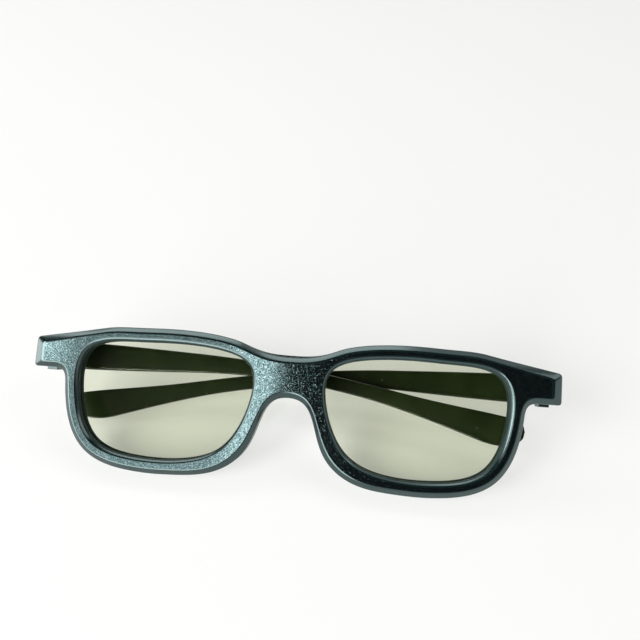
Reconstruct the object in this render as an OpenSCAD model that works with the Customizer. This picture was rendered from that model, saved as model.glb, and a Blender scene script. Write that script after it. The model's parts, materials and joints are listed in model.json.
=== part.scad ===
// Polarised 3-D viewing glasses, folded and lying back on their temples.
// Built upright with the front face at y = 0, then laid back to rest on z = 0.

/* [Front] */
// Width of each lens opening
lens_w = 49.8; // [46:0.1:54]
// Height of each lens opening
lens_h = 32.2; // [29:0.1:36]
// Distance between the two lens openings
lens_gap = 20; // [17:0.1:24]
// Width of the rim around each opening
rim_w = 4; // [3.2:0.1:5]
// Extra rim width beside the nose
nose_extra = 1.3; // [0:0.1:1.8]
// Height of the bridge at the middle
bridge_h = 11.2; // [8:0.1:13]
// Top of the nose arch above the middle of the lens openings
arch_z = 3.4; // [0:0.1:5]
// Thickness of the front frame
front_t = 2.8; // [2.2:0.1:4]
// Thickness of the rear frame behind it
rear_t = 1.6; // [1.2:0.1:3]
// Rise of the rear frame above the front frame at the bridge
rear_rise = 0.5; // [0:0.1:1]
// Width of the bevel around the front face
bevel_w = 1.5; // [0.8:0.1:1.8]
// Depth of that bevel
bevel_t = 1.2; // [0.6:0.1:1.5]
// Width and depth of the bevel around each lens opening
eye_bevel = 0.7; // [0.3:0.1:1]

/* [End pieces] */
// Length of an end piece beyond the rim
end_len = 9.4; // [8.5:0.1:12]
// Height of an end piece
end_h = 8.4; // [7.8:0.1:10]
// Underside of an end piece above the middle of the lens openings
end_z = 7; // [5:0.1:8]
// Radius under an end piece, where it meets the rim
end_fillet = 3.4; // [2:0.1:4]
// Width of the bevel at the tip of an end piece
end_bevel_w = 2.5; // [1:0.1:3]

/* [Lenses] */
// Thickness of the retarder film and of the polariser film
film_t = 0.3; // [0.2:0.05:0.5]
// Lap of the films behind the rim
film_lap = 1.6; // [1:0.1:2.2]
// Gap between the films' edge and their seat
film_clear = 0.15; // [0.05:0.05:0.3]

/* [Hinges] */
// Diameter of a hinge pin
pin_d = 1.2; // [1:0.05:1.6]
// Radial running clearance of a pin in its temple
pin_clear = 0.05; // [0.02:0.01:0.08]
// Radial interference of a pin in the rear frame
pin_press = 0.01; // [0:0.005:0.02]
// Diameter of the hinge knuckles
knuckle_d = 3; // [2.6:0.1:3.4]
// Height of the temple's knuckle
knuckle_h = 2.8; // [2:0.1:3.6]
// Gap above and below the temple's knuckle
knuckle_gap = 0.15; // [0.1:0.05:0.3]
// Clearance between moving and fixed parts of a hinge
hinge_clear = 0.3; // [0.2:0.05:0.5]
// Reach of the lower ear below the temple
ear_reach = 0.4; // [0:0.1:1.2]
// Drop of a hinge below the middle of its end piece
hinge_drop = 0.55; // [0:0.05:0.8]
// Length of a temple in front of its pin
heel_len = 1.7; // [1.5:0.1:2.4]

/* [Temples] */
// Length of a temple behind its pin
temple_len = 134.5; // [124:0.5:140]
// Thickness of a temple
temple_t = 2; // [1.6:0.1:2.6]
// Inward bow of a temple over its length
temple_bow = 6.5; // [5:0.1:9]
// Height of a temple at its hinge
root_h = 8.2; // [7:0.1:8.4]
// Height of a temple at its waist
waist_h = 4.2; // [3:0.1:5]
// Distance of the waist behind the pin
waist_s = 70; // [60:0.5:80]
// Height of a temple near its tip
tip_h = 9.6; // [7:0.1:11]
// Length of the rounding under the tip
tip_low_len = 12; // [6:0.5:16]
// Length of the rounding over the tip
tip_top_len = 2.8; // [1:0.1:6]
// Turn of both temples on their loose hinges, left tip down and right tip up, in degrees
hinge_play = 0.5; // [0:0.05:0.8]
// Distance behind the pin where a temple starts to bend down
bend_s = 40; // [34:0.5:60]
// Radius of that bend
bend_r = 260; // [160:1:320]
// Angle of the bend
bend_angle = 13; // [10:0.5:18]
// Gap left between the folded temples and what they lie on
fold_gap = 0.4; // [0.3:0.05:1]

/* [Hidden] */
$fn = 64;
// Facets used for the long arcs of the temples
long_arc_fn = 720;
// Steps in one stretch of a loop and in one short curve
loop_steps = 8;
curve_steps = 12;
// Overlap that joins two solids of one piece
join = 0.4;
// Cutting tools run this far past a face
past = 1;

frame_colour = [0.09, 0.14, 0.15];
temple_colour = [0.06, 0.07, 0.06];
retarder_colour = [0.85, 0.88, 0.80, 0.3];
polariser_colour = [0.62, 0.66, 0.56, 0.5];
pin_colour = [0.55, 0.56, 0.57];

// Shape of a lens opening: control points of a closed curve, outer side first
lens_shape = [
  [1.01, -0.01], [1.02, 0.98], [0.32, 0.97], [-0.1, 1.02], [-0.92, 0.92],
  [-1.06, 0.42], [-0.83, -0.7], [-0.34, -1], [0.23, -1.02], [0.82, -0.87]
];
shape_n = len(lens_shape);

// Cubic B-spline blend of four neighbouring control points, and its slope
function blend(a, b, c, d, t) =
  ((1 - t)^3 * a + (3 * t^3 - 6 * t^2 + 4) * b + (1 + 3 * t + 3 * t^2 - 3 * t^3) * c + t^3 * d) / 6;
function blend_slope(a, b, c, d, t) =
  (-(1 - t)^2 * a + (3 * t^2 - 4 * t) * b + (1 + 2 * t - 3 * t^2) * c + t^2 * d) / 2;
function around(i) = lens_shape[(i + 2 * shape_n) % shape_n];
function unit_point(u) =
  let (i = floor(u)) blend(around(i - 1), around(i), around(i + 1), around(i + 2), u - i);
function unit_slope(u) =
  let (i = floor(u)) blend_slope(around(i - 1), around(i), around(i + 1), around(i + 2), u - i);

unit_loop = [for (k = [0 : shape_n * loop_steps - 1]) unit_point(k / loop_steps)];
unit_x = [for (p = unit_loop) p.x];
unit_z = [for (p = unit_loop) p.y];
unit_mid = [max(unit_x) + min(unit_x), max(unit_z) + min(unit_z)] / 2;
half_size = [lens_w / (max(unit_x) - min(unit_x)), lens_h / (max(unit_z) - min(unit_z))];
lens_x = (lens_gap + lens_w) / 2;

function by_axis(p, q) = [p.x * q.x, p.y * q.y];
function unit(v) = v / norm(v);
function mixed(a, b, t) = a * (1 - t) + b * t;
function smooth(t) = let (c = min(1, max(0, t))) c * c * (3 - 2 * c);

// Lens opening on the +X side, grown outwards by d at loop position u
function loop_dir(u) = unit(by_axis(unit_slope(u), half_size));
function loop_out(u) = let (d = loop_dir(u)) [d.y, -d.x];
function loop_point(u, d = 0) =
  [lens_x, 0] + by_axis(unit_point(u) - unit_mid, half_size) + d * loop_out(u);
function lens_loop(d = 0) =
  [for (k = [0 : shape_n * loop_steps - 1]) loop_point(k / loop_steps, d)];

// Loop positions where the outer edge leaves and rejoins the rim
u_bridge = 4;
u_end_top = 1.4;
u_end_under = 0.05;
u_nose = -3.9;
u_nose_from = -2.5;

function rim_at(u) = rim_w + nose_extra * smooth((u - u_nose_from) / (u_nose - u_nose_from));
function rim_point(u, inset = 0) = loop_point(u, rim_at(u) - inset);
function rim_run(u0, u1, inset = 0) =
  let (n = ceil(abs(u1 - u0) * loop_steps)) [for (k = [0 : n]) rim_point(mixed(u0, u1, k / n), inset)];

// Cubic curve between two points, without its end points
function bezier(a, b, c, d) = [
  for (k = [1 : curve_steps - 1]) let (t = k / curve_steps)
    (1 - t)^3 * a + 3 * t * (1 - t)^2 * b + 3 * t^2 * (1 - t) * c + t^3 * d
];
// Curve that leaves a along da and reaches d along dd; pull sets how tightly
function sweep(a, da, d, dd, pull) =
  let (reach = norm(d - a) * pull) bezier(a, a + reach * da, d - reach * dd, d);

x_side = lens_x + lens_w / 2 + rim_w;
x_end = x_side + end_len;
bridge_mid = [0, arch_z + bridge_h];
arch_mid = [0, arch_z];
end_top = [x_end, end_z + end_h];
end_under = [x_end, end_z];
under_start = [x_side + end_fillet, end_z];
pull_soft = 0.42;
pull_round = 0.5;

// Outer edge of the front on the +X side, from the bridge over the end piece to the nose arch.
// A share of 0 is the wall and 1 the edge of the bevelled face; rise lifts the edge at the bridge
function half_edge(share = 0, rise = 0) =
  let (
    inset = share * bevel_w,
    end_inset = share * end_bevel_w,
    bridge = bridge_mid + [0, rise - inset],
    top = end_top - [end_inset, inset],
    under = end_under + [-end_inset, inset],
    fillet = under_start + [0, inset],
    arch = arch_mid + [0, inset],
    shoulder = rim_point(u_end_top, inset)
  )
  concat(
    [bridge],
    sweep(bridge, [1, 0], rim_point(u_bridge, inset), -loop_dir(u_bridge), pull_soft),
    rim_run(u_bridge, u_end_top, inset),
    sweep(shoulder, -loop_dir(u_end_top), top, unit(top - shoulder), pull_soft),
    [top, under, fillet],
    sweep(fillet, [-1, 0], rim_point(u_end_under, inset), -loop_dir(u_end_under), pull_round),
    rim_run(u_end_under, u_nose, inset),
    sweep(rim_point(u_nose, inset), -loop_dir(u_nose), arch, [-1, 0], pull_soft),
    [arch]
  );
function outer_edge(share = 0, rise = 0) =
  let (half = half_edge(share, rise))
  concat(half, [for (k = [len(half) - 2 : -1 : 1]) [-half[k].x, half[k].y]]);
edge_z = [for (p = half_edge()) p.y];
z_bottom = min(edge_z);
z_top = max(edge_z);
y_back = front_t + rear_t;

// Hinge: the pin stands behind the end piece, with the temple's heel against it when open
temple_w = knuckle_d / 2 + hinge_clear;
pin_x = x_end - temple_w - temple_t;
pin_y = y_back + heel_len + knuckle_gap;
hinge_z = end_z + end_h / 2 - hinge_drop;
ear_h = (root_h - knuckle_h) / 2 - knuckle_gap;
hinge_low = -root_h / 2 - ear_reach;
hinge_h = root_h + ear_reach;

// Temple seen from the side: s runs from the pin to the tip, z from the middle of the hinge
bend_end_s = bend_s + bend_r * tan(bend_angle);
// Share of the tip's height that the lower rounding takes
tip_low_share = 0.72;
function drop(s) =
  s < bend_s ? 0 :
  s < bend_end_s ? (s - bend_s)^2 / (2 * bend_r) :
  (bend_end_s - bend_s)^2 / (2 * bend_r) + (s - bend_end_s) * tan(bend_angle);
function plain_h(s) =
  s < waist_s ? mixed(root_h, waist_h, smooth(s / waist_s)) :
  mixed(waist_h, tip_h, smooth(((s - waist_s) / (temple_len - waist_s))^2));
function tip_cut(s, len) =
  s < temple_len - len ? 0 : 1 - sqrt(max(0, 1 - ((s - temple_len) / len + 1)^2));
function low(s) = -drop(s) + plain_h(s) * (tip_low_share * tip_cut(s, tip_low_len) - 0.5);
function high(s) = -drop(s) + plain_h(s) * (0.5 - (1 - tip_low_share) * tip_cut(s, tip_top_len));

side_steps = 44;
round_steps = 16;
round_s = temple_len - tip_low_len;
side_s = concat(
  [for (k = [0 : side_steps]) round_s * k / side_steps],
  [for (k = [1 : round_steps - 1]) round_s + tip_low_len * sin(90 * k / round_steps)]
);
side_n = len(side_s);
temple_side = concat(
  [[-heel_len, -root_h / 2]],
  [for (s = side_s) [s, low(s)]],
  [[temple_len, low(temple_len)]],
  [for (k = [side_n - 1 : -1 : 0]) [side_s[k], high(side_s[k])]],
  [[-heel_len, root_h / 2]]
);

// Temple seen from above: its inner and outer faces are arcs about one centre
bow_r = ((temple_len / 2)^2 + temple_bow^2) / (2 * temple_bow);
bow_y = temple_w + temple_bow - bow_r;
function inner_face(s) = bow_y + sqrt(bow_r^2 - (s - temple_len / 2)^2);
function outer_face(s) = bow_y + sqrt((bow_r + temple_t)^2 - (s - temple_len / 2)^2);

// The right temple folds until its tip lies on the rear frame
right_fold = asin((pin_y + temple_w - y_back - fold_gap) / temple_len);
function right_y(s) = pin_y + outer_face(s) - s * sin(right_fold);
// The left temple folds onto the right one, wherever the two share a height
function play_z(s) = s * sin(hinge_play);
lap_s = [
  for (s = side_s) let (o = 2 * pin_x - s, lift = play_z(o) + play_z(s))
    if (o > 0 && o < temple_len && low(s) - fold_gap < high(o) + lift && low(o) + lift - fold_gap < high(s)) s
];
left_fold = max([
  for (s = lap_s) let (o = 2 * pin_x - s)
    asin((right_y(o) + fold_gap - pin_y - inner_face(s)) / s)
]);
function left_y(s) = pin_y + outer_face(s) + s * sin(left_fold);

// The front leans back until the temples and the rims' lower edge lie on the floor
floor_angle = max([
  for (s = side_s)
    max(
      atan((left_y(s) - y_back) / (hinge_z + low(s) - play_z(s) - z_bottom)),
      atan((right_y(s) - y_back) / (hinge_z + low(s) + play_z(s) - z_bottom))
    )
]);
lean = 90 - floor_angle;
function laid_y(y, z) = y * cos(lean) + z * sin(lean);
function laid_z(y, z) = z * cos(lean) - y * sin(lean);
back_reach = max(concat(
  [laid_y(y_back, z_top)],
  [for (s = side_s) laid_y(left_y(s), hinge_z + high(s) - play_z(s))],
  [for (s = side_s) laid_y(right_y(s), hinge_z + high(s) + play_z(s))]
));
front_reach = min(laid_y(0, z_bottom + bevel_w), laid_y(bevel_t, z_bottom));
rest_y = -(front_reach + back_reach) / 2;
rest_z = -laid_z(y_back, z_bottom);

module laid_back() {
  translate([0, rest_y, rest_z]) rotate([-lean, 0, 0]) children();
}

// Flat plate that fills an outline in x and z, from y0 back by t
module plate(outline, y0, t) {
  translate([0, y0 + t, 0]) rotate([90, 0, 0]) linear_extrude(t) polygon(outline);
}

// Solid through outlines in x and z, given clockwise from the front, each at its own y
module skin(outlines, depths) {
  n = len(outlines[0]);
  last = len(outlines) - 1;
  points = [for (k = [0 : last]) for (p = outlines[k]) [p.x, depths[k], p.y]];
  sides = [
    for (k = [0 : last - 1]) for (i = [0 : n - 1]) let (j = (i + 1) % n)
      [k * n + i, (k + 1) * n + i, (k + 1) * n + j, k * n + j]
  ];
  front = [for (i = [0 : n - 1]) i];
  back = [for (i = [n - 1 : -1 : 0]) last * n + i];
  polyhedron(points, concat([front, back], sides));
}

function reversed(list) = [for (k = [len(list) - 1 : -1 : 0]) list[k]];

module both_sides() {
  children();
  mirror([1, 0, 0]) children();
}

module at_pin() {
  translate([pin_x, pin_y, hinge_z]) children();
}

module ear(z0, h) {
  translate([0, 0, z0]) {
    cylinder(h = h, d = knuckle_d);
    translate([-knuckle_d / 2, y_back - pin_y - join, 0]) cube([knuckle_d, pin_y - y_back + join, h]);
  }
}

module ears() {
  ear(hinge_low, ear_h + ear_reach);
  ear(root_h / 2 - ear_h, ear_h);
}

module pin_hole(d) {
  translate([0, 0, hinge_low - past]) cylinder(h = hinge_h + 2 * past, d = d);
}

// Cutter for a lens opening, with the bevel at the front face
module eye_cut() {
  wall = reversed(lens_loop());
  skin([reversed(lens_loop(eye_bevel + past)), wall, wall], [-past, eye_bevel, front_t + past]);
}

module front_frame() {
  seat_t = 2 * film_t;
  color(frame_colour) laid_back() difference() {
    skin([outer_edge(1), outer_edge(), outer_edge()], [0, bevel_t, front_t]);
    both_sides() eye_cut();
    both_sides() plate(lens_loop(film_lap + film_clear), front_t - seat_t, seat_t + past);
  }
}

module rear_frame() {
  color(frame_colour) laid_back() difference() {
    union() {
      plate(outer_edge(0, rear_rise), front_t, rear_t);
      both_sides() at_pin() ears();
    }
    both_sides() plate(lens_loop(), front_t - past, rear_t + 2 * past);
    both_sides() at_pin() pin_hole(pin_d - 2 * pin_press);
  }
}

// Film counted from the front: 0 is the retarder, 1 the polariser behind it
module film(layer) {
  plate(lens_loop(film_lap), front_t - (2 - layer) * film_t, film_t);
}

module left_retarder() {
  color(retarder_colour) laid_back() film(0);
}

module left_polariser() {
  color(polariser_colour) laid_back() film(1);
}

module right_retarder() {
  color(retarder_colour) laid_back() mirror([1, 0, 0]) film(0);
}

module right_polariser() {
  color(polariser_colour) laid_back() mirror([1, 0, 0]) film(1);
}

// Bowed arm of a temple, with its heel cut back to pass the ears
module arm() {
  reach_y = temple_w + temple_bow + temple_t;
  difference() {
    intersection() {
      plate(temple_side, 0, reach_y + past);
      translate([temple_len / 2, bow_y, -temple_len / 2]) difference() {
        cylinder(h = temple_len, r = bow_r + temple_t, $fn = long_arc_fn);
        translate([0, 0, -past]) cylinder(h = temple_len + 2 * past, r = bow_r, $fn = long_arc_fn);
      }
    }
    translate([-heel_len - past, -past, -root_h]) cube([heel_len + past, temple_w + past, 2 * root_h]);
  }
}

// Temple along +X with its pin at the origin and its inner face towards -Y
module temple() {
  difference() {
    union() {
      arm();
      translate([0, 0, -knuckle_h / 2]) {
        cylinder(h = knuckle_h, d = knuckle_d);
        translate([-knuckle_d / 2, 0, 0]) cube([knuckle_d, temple_w + join, knuckle_h]);
      }
    }
    pin_hole(pin_d + 2 * pin_clear);
  }
}

module left_temple() {
  color(temple_colour) laid_back() at_pin() mirror([1, 0, 0]) rotate([0, hinge_play, left_fold]) temple();
}

module right_temple() {
  color(temple_colour) laid_back() mirror([1, 0, 0]) at_pin() mirror([1, 0, 0])
    rotate([0, -hinge_play, -right_fold]) temple();
}

module pin() {
  at_pin() translate([0, 0, hinge_low]) cylinder(h = hinge_h, d = pin_d);
}

module left_pin() {
  color(pin_colour) laid_back() pin();
}

module right_pin() {
  color(pin_colour) laid_back() mirror([1, 0, 0]) pin();
}

front_frame();
rear_frame();
left_retarder();
left_polariser();
right_retarder();
right_polariser();
left_temple();
right_temple();
left_pin();
right_pin();
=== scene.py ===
"""Polarised viewing glasses, folded and lying back on their temples.

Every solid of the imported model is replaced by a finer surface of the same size. The surfaces are worked out
upright, in millimetres, in the glasses' own frame: x to the viewer's right, y from the front face backwards,
z up, with the middle of the lens openings at z = 0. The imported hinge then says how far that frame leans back
and where it rests.
"""

import json
import logging
import math
from dataclasses import dataclass, field
from enum import Enum
from typing import Any, Callable, Iterable, Optional, Union

import bmesh
import bpy
import numpy as np
from mathutils import Matrix, Vector
from mathutils.geometry import delaunay_2d_cdt


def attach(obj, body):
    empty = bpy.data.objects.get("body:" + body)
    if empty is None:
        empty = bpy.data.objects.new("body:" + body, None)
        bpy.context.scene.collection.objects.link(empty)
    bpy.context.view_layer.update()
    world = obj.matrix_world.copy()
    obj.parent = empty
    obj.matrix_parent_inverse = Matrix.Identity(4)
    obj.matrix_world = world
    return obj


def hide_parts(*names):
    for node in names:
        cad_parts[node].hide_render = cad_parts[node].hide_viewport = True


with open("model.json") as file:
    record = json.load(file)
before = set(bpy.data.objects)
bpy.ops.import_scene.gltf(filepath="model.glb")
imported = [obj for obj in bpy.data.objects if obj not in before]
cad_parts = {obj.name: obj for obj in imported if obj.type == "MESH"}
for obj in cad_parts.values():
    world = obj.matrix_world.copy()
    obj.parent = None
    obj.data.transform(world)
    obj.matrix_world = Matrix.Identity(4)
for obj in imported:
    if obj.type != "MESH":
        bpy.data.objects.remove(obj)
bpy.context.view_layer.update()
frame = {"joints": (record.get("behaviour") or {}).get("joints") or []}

MM = 0.001
CLOSE = 2e-7  # metres within which the points of a piece are merged
SHEET_CLOSE = 1e-6  # millimetres within which the corners of a flat sheet are merged
TINY = 1e-6  # keeps a divisor or a size off zero
INSIDE_WITH_HOLES = 2  # delaunay_2d_cdt keeps what lies inside the first loop and outside the others
log = logging.getLogger("glasses")

Rgb = tuple[float, float, float]
Place = tuple[float, float, float]
Pair = tuple[float, float]
Rows = list[Pair]
Share = Union[np.ndarray, float]
Holder = Union[bpy.types.Material, bpy.types.World]


class Side(Enum):
    """The wearer's side; the value is its sign along x."""

    LEFT = 1.0
    RIGHT = -1.0

    @property
    def word(self) -> str:
        """The side's name as the nodes and bodies spell it."""
        return self.name.lower()

    @property
    def mirror(self) -> np.ndarray:
        """Factors of x, y and z that take the +X side to this one."""
        return np.array([self.value, 1.0, 1.0])


class Slot(Enum):
    """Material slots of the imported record."""

    FRAME = "frame"
    TEMPLE = "temple"
    RETARDER = "retarder"
    POLARISER = "polariser"
    PIN = "pin"


def smooth(t: np.ndarray) -> np.ndarray:
    """Cubic step: 0 below t = 0, 1 above t = 1, with flat ends."""
    c = np.clip(t, 0.0, 1.0)
    return c * c * (3.0 - 2.0 * c)


def unit(v: np.ndarray) -> np.ndarray:
    """Vectors of length 1 along v."""
    return v / np.linalg.norm(v, axis=-1, keepdims=True)


def bezier(a: np.ndarray, b: np.ndarray, c: np.ndarray, d: np.ndarray, steps: int) -> np.ndarray:
    """Cubic curve from a to d with handles b and c, without its end points.

    Args:
        a, b, c, d: Control points in x and z.
        steps: Number of equal steps of the parameter.

    Returns:
        The steps - 1 points between a and d.
    """
    t = np.arange(1, steps)[:, None] / steps
    return (1 - t) ** 3 * a + 3 * t * (1 - t) ** 2 * b + 3 * t**2 * (1 - t) * c + t**3 * d


def sweep(a: np.ndarray, da: np.ndarray, d: np.ndarray, dd: np.ndarray, pull: float,
          steps: int) -> np.ndarray:
    """Cubic curve that leaves a along da and reaches d along dd.

    Args:
        a, d: End points.
        da, dd: Unit directions there.
        pull: Handle length as a share of the distance from a to d.
        steps: Number of steps.

    Returns:
        The points between a and d.
    """
    reach = np.linalg.norm(d - a) * pull
    return bezier(a, a + reach * da, d - reach * dd, d, steps)


def rounded(corner: Pair, before: Pair, after: Pair, steps: int) -> Rows:
    """Quadratic curve that rounds a corner of a profile.

    Args:
        corner: The sharp corner.
        before, after: Where the rounding starts and ends.
        steps: Number of steps.

    Returns:
        The points of the rounding, both ends among them.
    """
    t = np.linspace(0.0, 1.0, steps + 1)[:, None]
    p, q, r = (np.array(v) for v in (before, corner, after))
    return [tuple(row) for row in ((1 - t) ** 2 * p + 2 * t * (1 - t) * q + t**2 * r).tolist()]


def add_object(name: str, data: bpy.types.ID) -> bpy.types.Object:
    """Adds an object with its data to the scene."""
    thing = bpy.data.objects.new(name, data)
    bpy.context.scene.collection.objects.link(thing)
    return thing


@dataclass(frozen=True)
class Rest:
    """How the upright glasses lie on the floor: a lean about x, then a shift."""

    lean: float
    shift_y: float
    shift_z: float

    @classmethod
    def from_hinge(cls, joint: dict[str, Any], pin_y: float, pin_z: float) -> "Rest":
        """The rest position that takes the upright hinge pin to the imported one.

        Args:
            joint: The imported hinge; its axis is the upright z axis, laid back.
            pin_y, pin_z: The pin's place in the upright frame, in millimetres.

        Returns:
            The lean and the shift.
        """
        up = np.abs(np.array(joint["axis"]))
        lean = math.atan2(up[1], up[2])
        y, z = (v / MM for v in joint["pos_m"][1:])
        return cls(
            lean,
            y - pin_y * math.cos(lean) - pin_z * math.sin(lean),
            z - pin_z * math.cos(lean) + pin_y * math.sin(lean),
        )

    def place(self, points: np.ndarray) -> np.ndarray:
        """Upright points in millimetres, laid back: the row frame, in metres."""
        x, y, z = np.moveaxis(np.asarray(points, float), -1, 0)
        c, s = math.cos(self.lean), math.sin(self.lean)
        return np.stack([x, y * c + z * s + self.shift_y, z * c - y * s + self.shift_z], axis=-1) * MM


@dataclass
class Surface:
    """Points and faces of one piece, with a finish share at each point.

    The share says how much grain there is on the frames, and how much polish on the temples.
    """

    points: list[np.ndarray] = field(default_factory=list)
    faces: list[list[list[int]]] = field(default_factory=list)
    finish: list[np.ndarray] = field(default_factory=list)
    count: int = 0

    def add(self, points: np.ndarray, faces: np.ndarray, finish: Share = 0.0) -> None:
        """Appends points with the faces that join them.

        Args:
            points: Points, n by 3.
            faces: Indices into points, one row a face.
            finish: Finish share, one number or one a point.
        """
        self.points.append(points)
        self.faces.append((faces + self.count).tolist())
        self.finish.append(np.broadcast_to(np.asarray(finish, float), (len(points),)))
        self.count += len(points)

    def add_grid(self, grid: np.ndarray, wrap: bool = True, close: bool = False,
                 finish: Share = 0.0) -> None:
        """Appends a grid of points as quads.

        Args:
            grid: Points, rows by columns by 3.
            wrap: True if the last column joins the first.
            close: True if the last row joins the first.
            finish: Finish share, one number or an array that spreads over rows by columns.
        """
        rows, columns = grid.shape[:2]
        index = np.arange(rows * columns).reshape(rows, columns)
        index = np.concatenate([index, index[:1]]) if close else index
        index = np.concatenate([index, index[:, :1]], axis=1) if wrap else index
        quads = np.stack([index[:-1, :-1], index[1:, :-1], index[1:, 1:], index[:-1, 1:]], axis=-1)
        share = np.broadcast_to(np.asarray(finish, float), (rows, columns)).ravel()
        self.add(grid.reshape(-1, 3), quads.reshape(-1, 4), share)

    def add_sheet(self, loops: list[np.ndarray], finish: float = 0.0) -> None:
        """Appends the flat sheet inside the first loop and outside the others.

        Args:
            loops: Closed loops of points, all at the depth of the sheet.
            finish: Finish share.
        """
        first = np.cumsum([0] + [len(loop) for loop in loops])
        rings = [list(range(start, stop)) for start, stop in zip(first[:-1], first[1:])]
        corners = [Vector(p) for p in np.concatenate(loops)[:, ::2].tolist()]
        flat, _, faces, *_ = delaunay_2d_cdt(corners, [], rings, INSIDE_WITH_HOLES, SHEET_CLOSE)
        xz = np.array(flat)
        points = np.stack([xz[:, 0], np.full(len(xz), loops[0][0, 1]), xz[:, 1]], axis=-1)
        self.add(points, np.array(faces), finish)

    def to_object(self, name: str, rest: Rest) -> bpy.types.Object:
        """The surface as a closed, smooth-shaded object laid on the floor.

        Args:
            name: The piece's name.
            rest: How the upright frame lies.

        Returns:
            The new object, at the origin.
        """
        mesh = bpy.data.meshes.new(name)
        faces = [face for part in self.faces for face in part]
        mesh.from_pydata(rest.place(np.concatenate(self.points)), [], faces)
        attribute = mesh.attributes.new("finish", "FLOAT", "POINT")
        attribute.data.foreach_set("value", np.concatenate(self.finish).astype(np.float32))
        work = bmesh.new()
        work.from_mesh(mesh)
        bmesh.ops.remove_doubles(work, verts=work.verts, dist=CLOSE)
        bmesh.ops.recalc_face_normals(work, faces=work.faces)
        work.to_mesh(mesh)
        work.free()
        mesh.polygons.foreach_set("use_smooth", np.ones(len(mesh.polygons), bool))
        return add_object(name, mesh)


class Value:
    """A shader socket that adds a Math node for each operator it meets."""

    def __init__(self, recipe: "Recipe", socket: bpy.types.NodeSocket) -> None:
        """Wraps one output socket of a recipe's tree."""
        self.recipe = recipe
        self.socket = socket

    def _math(self, operation: str, first: Any, second: Any) -> "Value":
        """One Math node on two values or numbers."""
        node = self.recipe.node("ShaderNodeMath", {"operation": operation}, {0: first, 1: second})
        return Value(self.recipe, node.outputs[0])

    def __add__(self, other: Any) -> "Value":
        """Sum."""
        return self._math("ADD", self, other)

    __radd__ = __add__

    def __mul__(self, other: Any) -> "Value":
        """Product."""
        return self._math("MULTIPLY", self, other)

    __rmul__ = __mul__

    def __sub__(self, other: Any) -> "Value":
        """Difference."""
        return self._math("SUBTRACT", self, other)

    def __rsub__(self, other: Any) -> "Value":
        """Difference from a number."""
        return self._math("SUBTRACT", other, self)

    def __pow__(self, other: Any) -> "Value":
        """Power."""
        return self._math("POWER", self, other)

    def above(self, edge: float, width: float) -> "Value":
        """0 below edge and 1 from edge + width on, with a smooth step between."""
        node = self.recipe.node(
            "ShaderNodeMapRange",
            {"interpolation_type": "SMOOTHSTEP"},
            {"Value": self, "From Min": edge, "From Max": edge + width},
        )
        return Value(self.recipe, node.outputs[0])


@dataclass(frozen=True)
class Dust:
    """Scattered specks on a finish.

    pitch_mm is the width of the cells that may hold one, share the share of them that do, size a speck's
    radius as a share of the pitch, and cover how much a speck hides of what lies under it.
    """

    pitch_mm: float
    share: float
    size: float
    cover: float


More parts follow.
